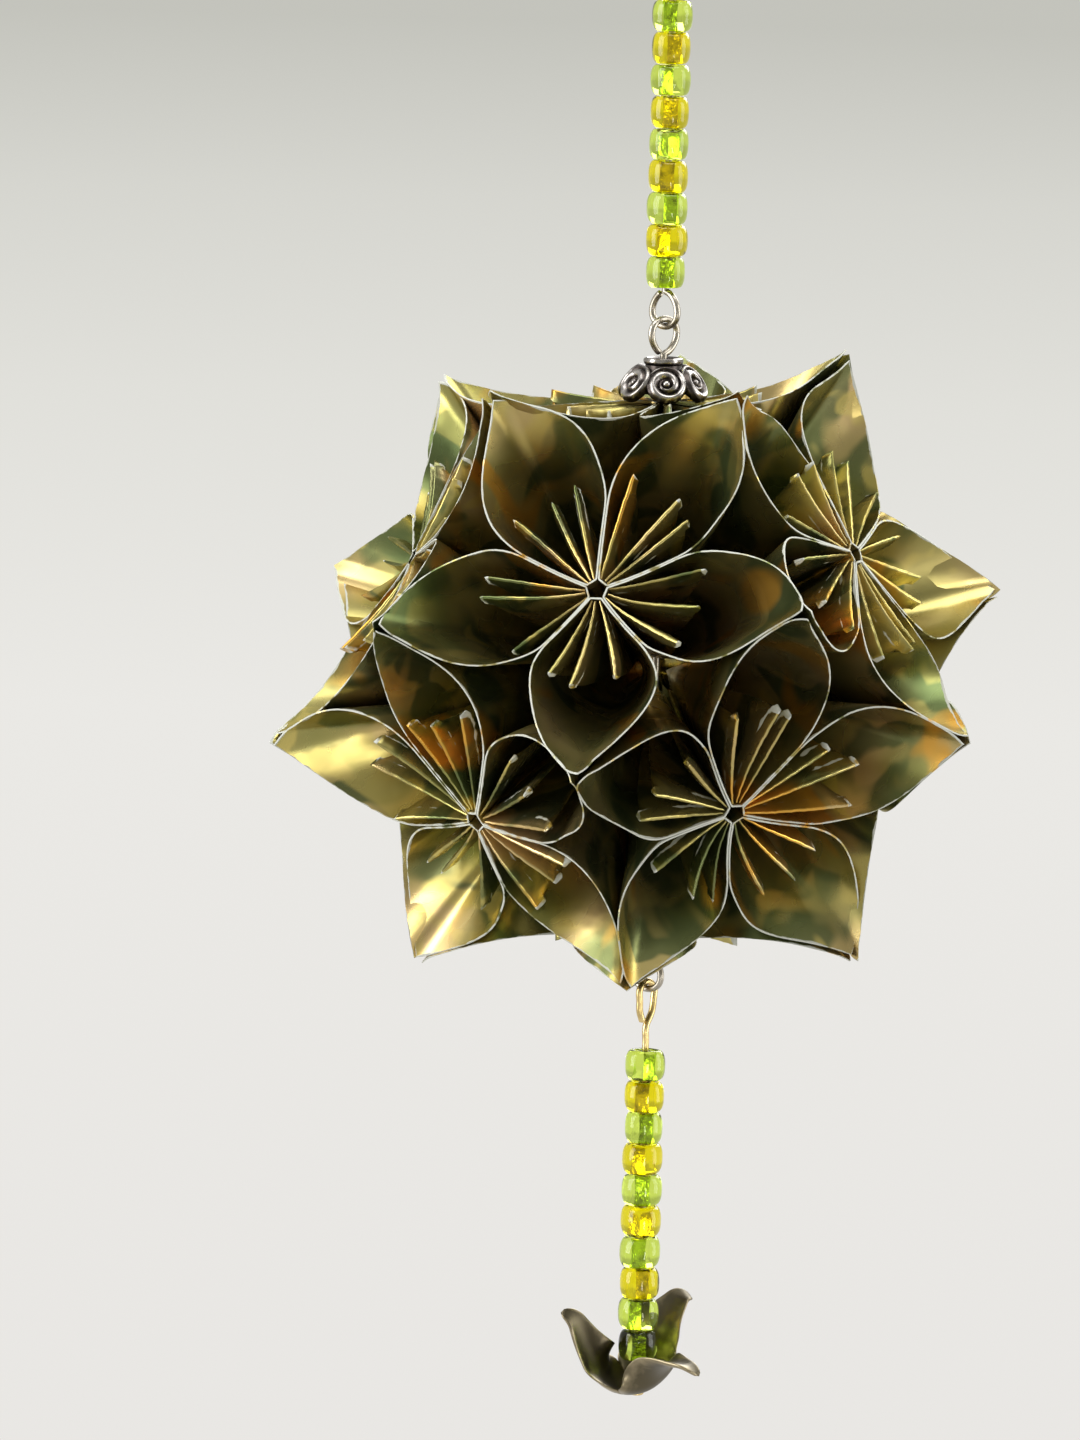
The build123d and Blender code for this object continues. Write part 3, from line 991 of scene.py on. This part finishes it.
def scroll_sheet():
    """The ring of scrolls: each is a round boss on which a cord of metal winds inwards. On a disc of
    turn and distance the height is a half-round ridge along a spiral of nearly two turns, with a round
    bead in the middle, falling to a rounded outer edge, and the back is flat."""
    turn = np.linspace(0, 2 * np.pi, 65)[None, :]
    share = np.concatenate([np.linspace(0.0, 0.97, 33), [1.0, 0.96, 0.6, 0.0]])[:, None]
    front = np.concatenate([np.ones(33), np.zeros(4)])[:, None]
    winding = share * scroll_winding - turn / (2 * np.pi)
    ridge = np.abs(np.sin(np.pi * winding)) ** 0.8
    knob = np.sqrt(np.clip(1 - (share / scroll_knob) ** 2, 0, 1))
    rolled = np.clip((share - scroll_knob) / 0.15, 0, 1)
    relief_height = np.maximum(knob, ridge * rolled) * front
    rise = (scroll_base + scroll_relief * relief_height) * np.sqrt(np.clip(1 - share**8, 0, 1)) * front
    back = -scroll_back * (1 - front) * (share < 0.99)
    disc_out = scroll_radius * share * np.cos(turn)
    disc_side = scroll_radius * share * np.sin(turn)
    disc_up = rise + back
    place = np.radians(360.0 / scroll_count * np.arange(scroll_count) + scroll_turn)[:, None, None]
    tilt = np.radians(scroll_tilt)
    out = scroll_ring + disc_up * np.sin(tilt) + disc_out * np.cos(tilt)
    level = cap_foot + scroll_radius * np.sin(tilt) + disc_up * np.cos(tilt) - disc_out * np.sin(tilt)
    x = out * np.cos(place) - disc_side * np.sin(place)
    y = out * np.sin(place) + disc_side * np.cos(place)
    grid = np.stack(np.broadcast_arrays(x, y, level), axis=-1)
    # the relief height is also the edge attribute, which paints shade between the ridges and on the back
    return grid, np.broadcast_to(relief_height, grid.shape[:-1]), True


make_piece(
    "scrolled_cap",
    [bell_sheet(), scroll_sheet()],
    antique_silver,
    "ball",
    "antique_silver",
    "bead_cap",
)


# lily cap

def lily_face(turn, bend, curl, swing, twist, side):
    """One face of a lily petal. Along the petal the middle line runs flat, turns up round the bowl,
    bends by its own angle, runs straight and curls over at the tip. Its half width is the smooth minimum
    of one that grows with the distance from the base and one that falls away to a narrow blunt tip.
    Across it the sides of the bowl are raised, and further out the sheet becomes a gutter, both by the
    square of the distance. The wall is fullest in the middle and closes at every edge. Past the bowl
    the section is twisted about the middle line, and the line swings sideways by the square of the
    run. The petal is turned about the base, and the whole is leant to the side and tilted to the
    viewer."""
    runs = [0, lily_foot, lily_bowl * np.radians(lily_sweep), lily_bend_run, lily_rise, lily_curl_run]
    knots = np.cumsum(runs)
    headings = np.radians(np.cumsum([0, 0, lily_sweep, -bend, 0, -curl]))
    fine = np.linspace(0, knots[-1], 1201)
    heading = np.interp(fine, knots, headings)
    step = fine[1] - fine[0]
    run = np.linspace(0, 1, 49)[:, None]
    at = run * knots[-1]
    out = np.interp(at, fine, np.cumsum(np.cos(heading)) * step)
    up = np.interp(at, fine, np.cumsum(np.sin(heading)) * step)
    slope = np.interp(at, fine, heading)
    leaf = lily_leaf * (1 - run) ** lily_taper + lily_tip * np.sqrt(1 - run**6)
    flare = lily_flare * out + 0.1
    half_width = (np.maximum(leaf, 0.001) ** -3 + flare**-3) ** (-1 / 3)
    across = np.sin(np.linspace(-1, 1, 25) * np.pi / 2)[None, :]
    further = np.clip((run - 0.2) / 0.35, 0, 1)
    further = further * further * (3 - 2 * further)
    bowl_lift = lily_bowl_lift * half_width * across**2 * np.clip(run / 0.15, 0, 1) * (1 - further)
    gutter = lily_gutter * half_width * across**2 * further * np.clip((1 - run) / 0.45, 0, 1)
    sides_closed = np.sqrt(np.clip(1 - across**8, 0, 1))
    ends_closed = np.sqrt(np.clip(1 - run**16, 0, 1)) * np.sqrt(np.clip(run / 0.03, 0, 1))
    thick = lily_wall / 2 * sides_closed * ends_closed
    offset = gutter + side * thick
    flat = half_width * across
    roll = np.radians(twist) * further
    width = flat * np.cos(roll) - offset * np.sin(roll)
    offset = flat * np.sin(roll) + offset * np.cos(roll)
    reach_out = out - np.sin(slope) * offset
    height = up + bowl_lift + np.cos(slope) * offset + lily_wall / 2
    angle = np.radians(turn + swing * run**2)
    lean, tilt = np.radians(lily_lean), np.radians(lily_tilt)
    x = reach_out * np.cos(angle) - width * np.sin(angle)
    y = reach_out * np.sin(angle) + width * np.cos(angle)
    x, height = x * np.cos(lean) + height * np.sin(lean), height * np.cos(lean) - x * np.sin(lean)
    y, height = y * np.cos(tilt) - height * np.sin(tilt), y * np.sin(tilt) + height * np.cos(tilt)
    # painted light: each petal is painted darker along its middle, as shade, and left bright at its edges,
    # as a highlight
    painted_edge_highlight = np.clip(np.abs(across) ** 3 + 0.25, 0, 1)
    grid = np.stack(np.broadcast_arrays(x, y, height + lily_height), axis=-1)
    return grid, np.broadcast_to(painted_edge_highlight, grid.shape[:-1]), side > 0


lily_faces = [lily_face(*petal, side) for petal in lily_petals for side in (-1, 1)]
make_piece("brass_lily", lily_faces, antique_brass, "pendant", "antique_brass", "lily_cap")


# stage, light and camera

camera_back = np.array([0.0, -np.cos(camera_elevation), np.sin(camera_elevation)])
camera_place = (np.array([0.0, 0.0, ball_centre]) + camera_back * camera_distance) * MM


def enlarged(level):
    """A level of the sweep after it is enlarged about the camera."""
    return float(camera_place[2] + sweep_scale * (level - camera_place[2]))


def seen_directly(nodes, links, ray):
    """One for rays that come from the camera, straight or through glass, and nought for the others."""
    camera_ray, through_glass = ray.outputs["Is Camera Ray"], ray.outputs["Is Transmission Ray"]
    return combine(nodes, links, "MAXIMUM", camera_ray, through_glass)


def stage_floor():
    """A pale sweep: a floor that turns up into a wall behind the object, with its profile carried
    sideways. The whole is enlarged about the camera, so that it keeps its look from there and leaves room
    for a viewer behind the object. The camera, metal and glass see it glow in its tones, painted light that
    grows darker towards the top; for the other rays light and shadow fall on it as on paper."""
    material, nodes, links, shader, place = new_material("pale_sweep")
    output = nodes["Material Output"]
    split = nodes.new("ShaderNodeSeparateXYZ")
    links.new(place.outputs["Object"], split.inputs["Vector"])
    level = span(nodes, links, split.outputs["Z"], enlarged(sweep_floor), enlarged(sweep_top), 0.0, 1.0)
    # painted light: the tones grow darker towards the top, and the sweep glows with them for the camera,
    # metal and glass
    tone = ramp(nodes, links, level, sweep_painted_tones)
    links.new(tone, shader.inputs["Base Color"])
    shader.inputs["Roughness"].default_value = 0.9
    shader.inputs["Specular IOR Level"].default_value = 0.0
    glow = nodes.new("ShaderNodeEmission")
    links.new(tone, glow.inputs["Color"])
    ray = nodes.new("ShaderNodeLightPath")
    seen = seen_directly(nodes, links, ray)
    seen = combine(nodes, links, "MAXIMUM", seen, ray.outputs["Is Glossy Ray"])
    pick = nodes.new("ShaderNodeMixShader")
    links.new(seen, pick.inputs["Fac"])
    links.new(shader.outputs["BSDF"], pick.inputs[1])
    links.new(glow.outputs["Emission"], pick.inputs[2])
    links.new(pick.outputs["Shader"], output.inputs["Surface"])
    bend = np.linspace(0, np.pi / 2, 17)
    back = sweep_bend_start + sweep_bend * np.sin(bend)
    depth = np.concatenate([[sweep_front, 0.0], back, [sweep_bend_start + sweep_bend]])
    height = np.concatenate([[0.0, 0.0], sweep_bend - sweep_bend * np.cos(bend), [sweep_height]])
    height = height + sweep_floor
    width = np.array([-sweep_half_width, sweep_half_width])
    grid = np.stack(np.broadcast_arrays(width[:, None], depth[None, :], height[None, :]), axis=-1)
    grid = camera_place + sweep_scale * (grid - camera_place)
    mesh = bpy.data.meshes.new("pale_sweep")
    mesh.from_pydata(grid.reshape(-1, 3), [], quads(1, 2, len(depth), True))
    mesh.polygons.foreach_set("use_smooth", np.ones(len(mesh.polygons), dtype=bool))
    mesh.materials.append(material)
    sweep = bpy.data.objects.new("pale_sweep", mesh)
    bpy.context.scene.collection.objects.link(sweep)


def soft_box(name, place, target, size, power):
    """A rectangular studio lamp that faces the target."""
    data = bpy.data.lights.new(name, "AREA")
    data.shape = "RECTANGLE"
    data.size, data.size_y = size
    data.energy = power
    lamp = bpy.data.objects.new(name, data)
    lamp.location = place
    lamp.rotation_euler = (Vector(target) - Vector(place)).to_track_quat("-Z", "Y").to_euler()
    bpy.context.scene.collection.objects.link(lamp)


def studio():
    """A pale room that is darker on the viewer's side, with soft boxes above, at both sides, below
    the viewer and behind the object."""
    world = bpy.data.worlds.new("pale_room")
    bpy.context.scene.world = world
    world.use_nodes = True
    nodes, links = world.node_tree.nodes, world.node_tree.links
    way = nodes.new("ShaderNodeTexCoord")
    split = nodes.new("ShaderNodeSeparateXYZ")
    links.new(way.outputs["Generated"], split.inputs["Vector"])
    depth = span(nodes, links, split.outputs["Y"], -1.0, 0.6, 0.0, 1.0)
    room = ramp(nodes, links, depth, room_tones)
    ray = nodes.new("ShaderNodeLightPath")
    light = blend_colour(nodes, links, seen_directly(nodes, links, ray), room, room_seen)
    links.new(light, nodes["Background"].inputs["Color"])
    nodes["Background"].inputs["Strength"].default_value = 1.0
    aim = (0, 0, ball_centre * MM)
    for name, place, size, power in soft_boxes:
        soft_box(name, place, aim, size, power)


def photo_camera():
    """The camera of the photograph: its elevation, distance and focal length in pixels were fitted to
    the flower centres and petal tips. The ball's centre is put at its own pixel of the frame, and the
    frame is rolled a little to the lean of the strands."""
    roll = np.radians(camera_roll)
    side = np.array([1.0, 0.0, 0.0])
    rise = np.cross(camera_back, side)
    side, rise = side * np.cos(roll) + rise * np.sin(roll), rise * np.cos(roll) - side * np.sin(roll)
    right = (centre_pixel[0] - frame_width / 2) / focal
    up = (frame_height / 2 - centre_pixel[1]) / focal
    aim = -camera_back - side * right - rise * up
    aim /= np.linalg.norm(aim)
    side = np.cross(aim, rise)
    side /= np.linalg.norm(side)
    rise = np.cross(side, aim)
    data = bpy.data.cameras.new("photo_camera")
    data.sensor_fit = "VERTICAL"
    data.sensor_height = 36.0
    data.lens = focal * data.sensor_height / frame_height
    data.clip_start = 0.01
    camera = bpy.data.objects.new("photo_camera", data)
    turn = Matrix(np.stack([side, rise, -aim], axis=-1).tolist()).to_4x4()
    camera.matrix_world = Matrix.Translation(Vector(camera_place)) @ turn
    bpy.context.scene.collection.objects.link(camera)
    bpy.context.scene.camera = camera


stage_floor()
studio()
photo_camera()
bpy.context.scene.view_settings.view_transform = "Standard"
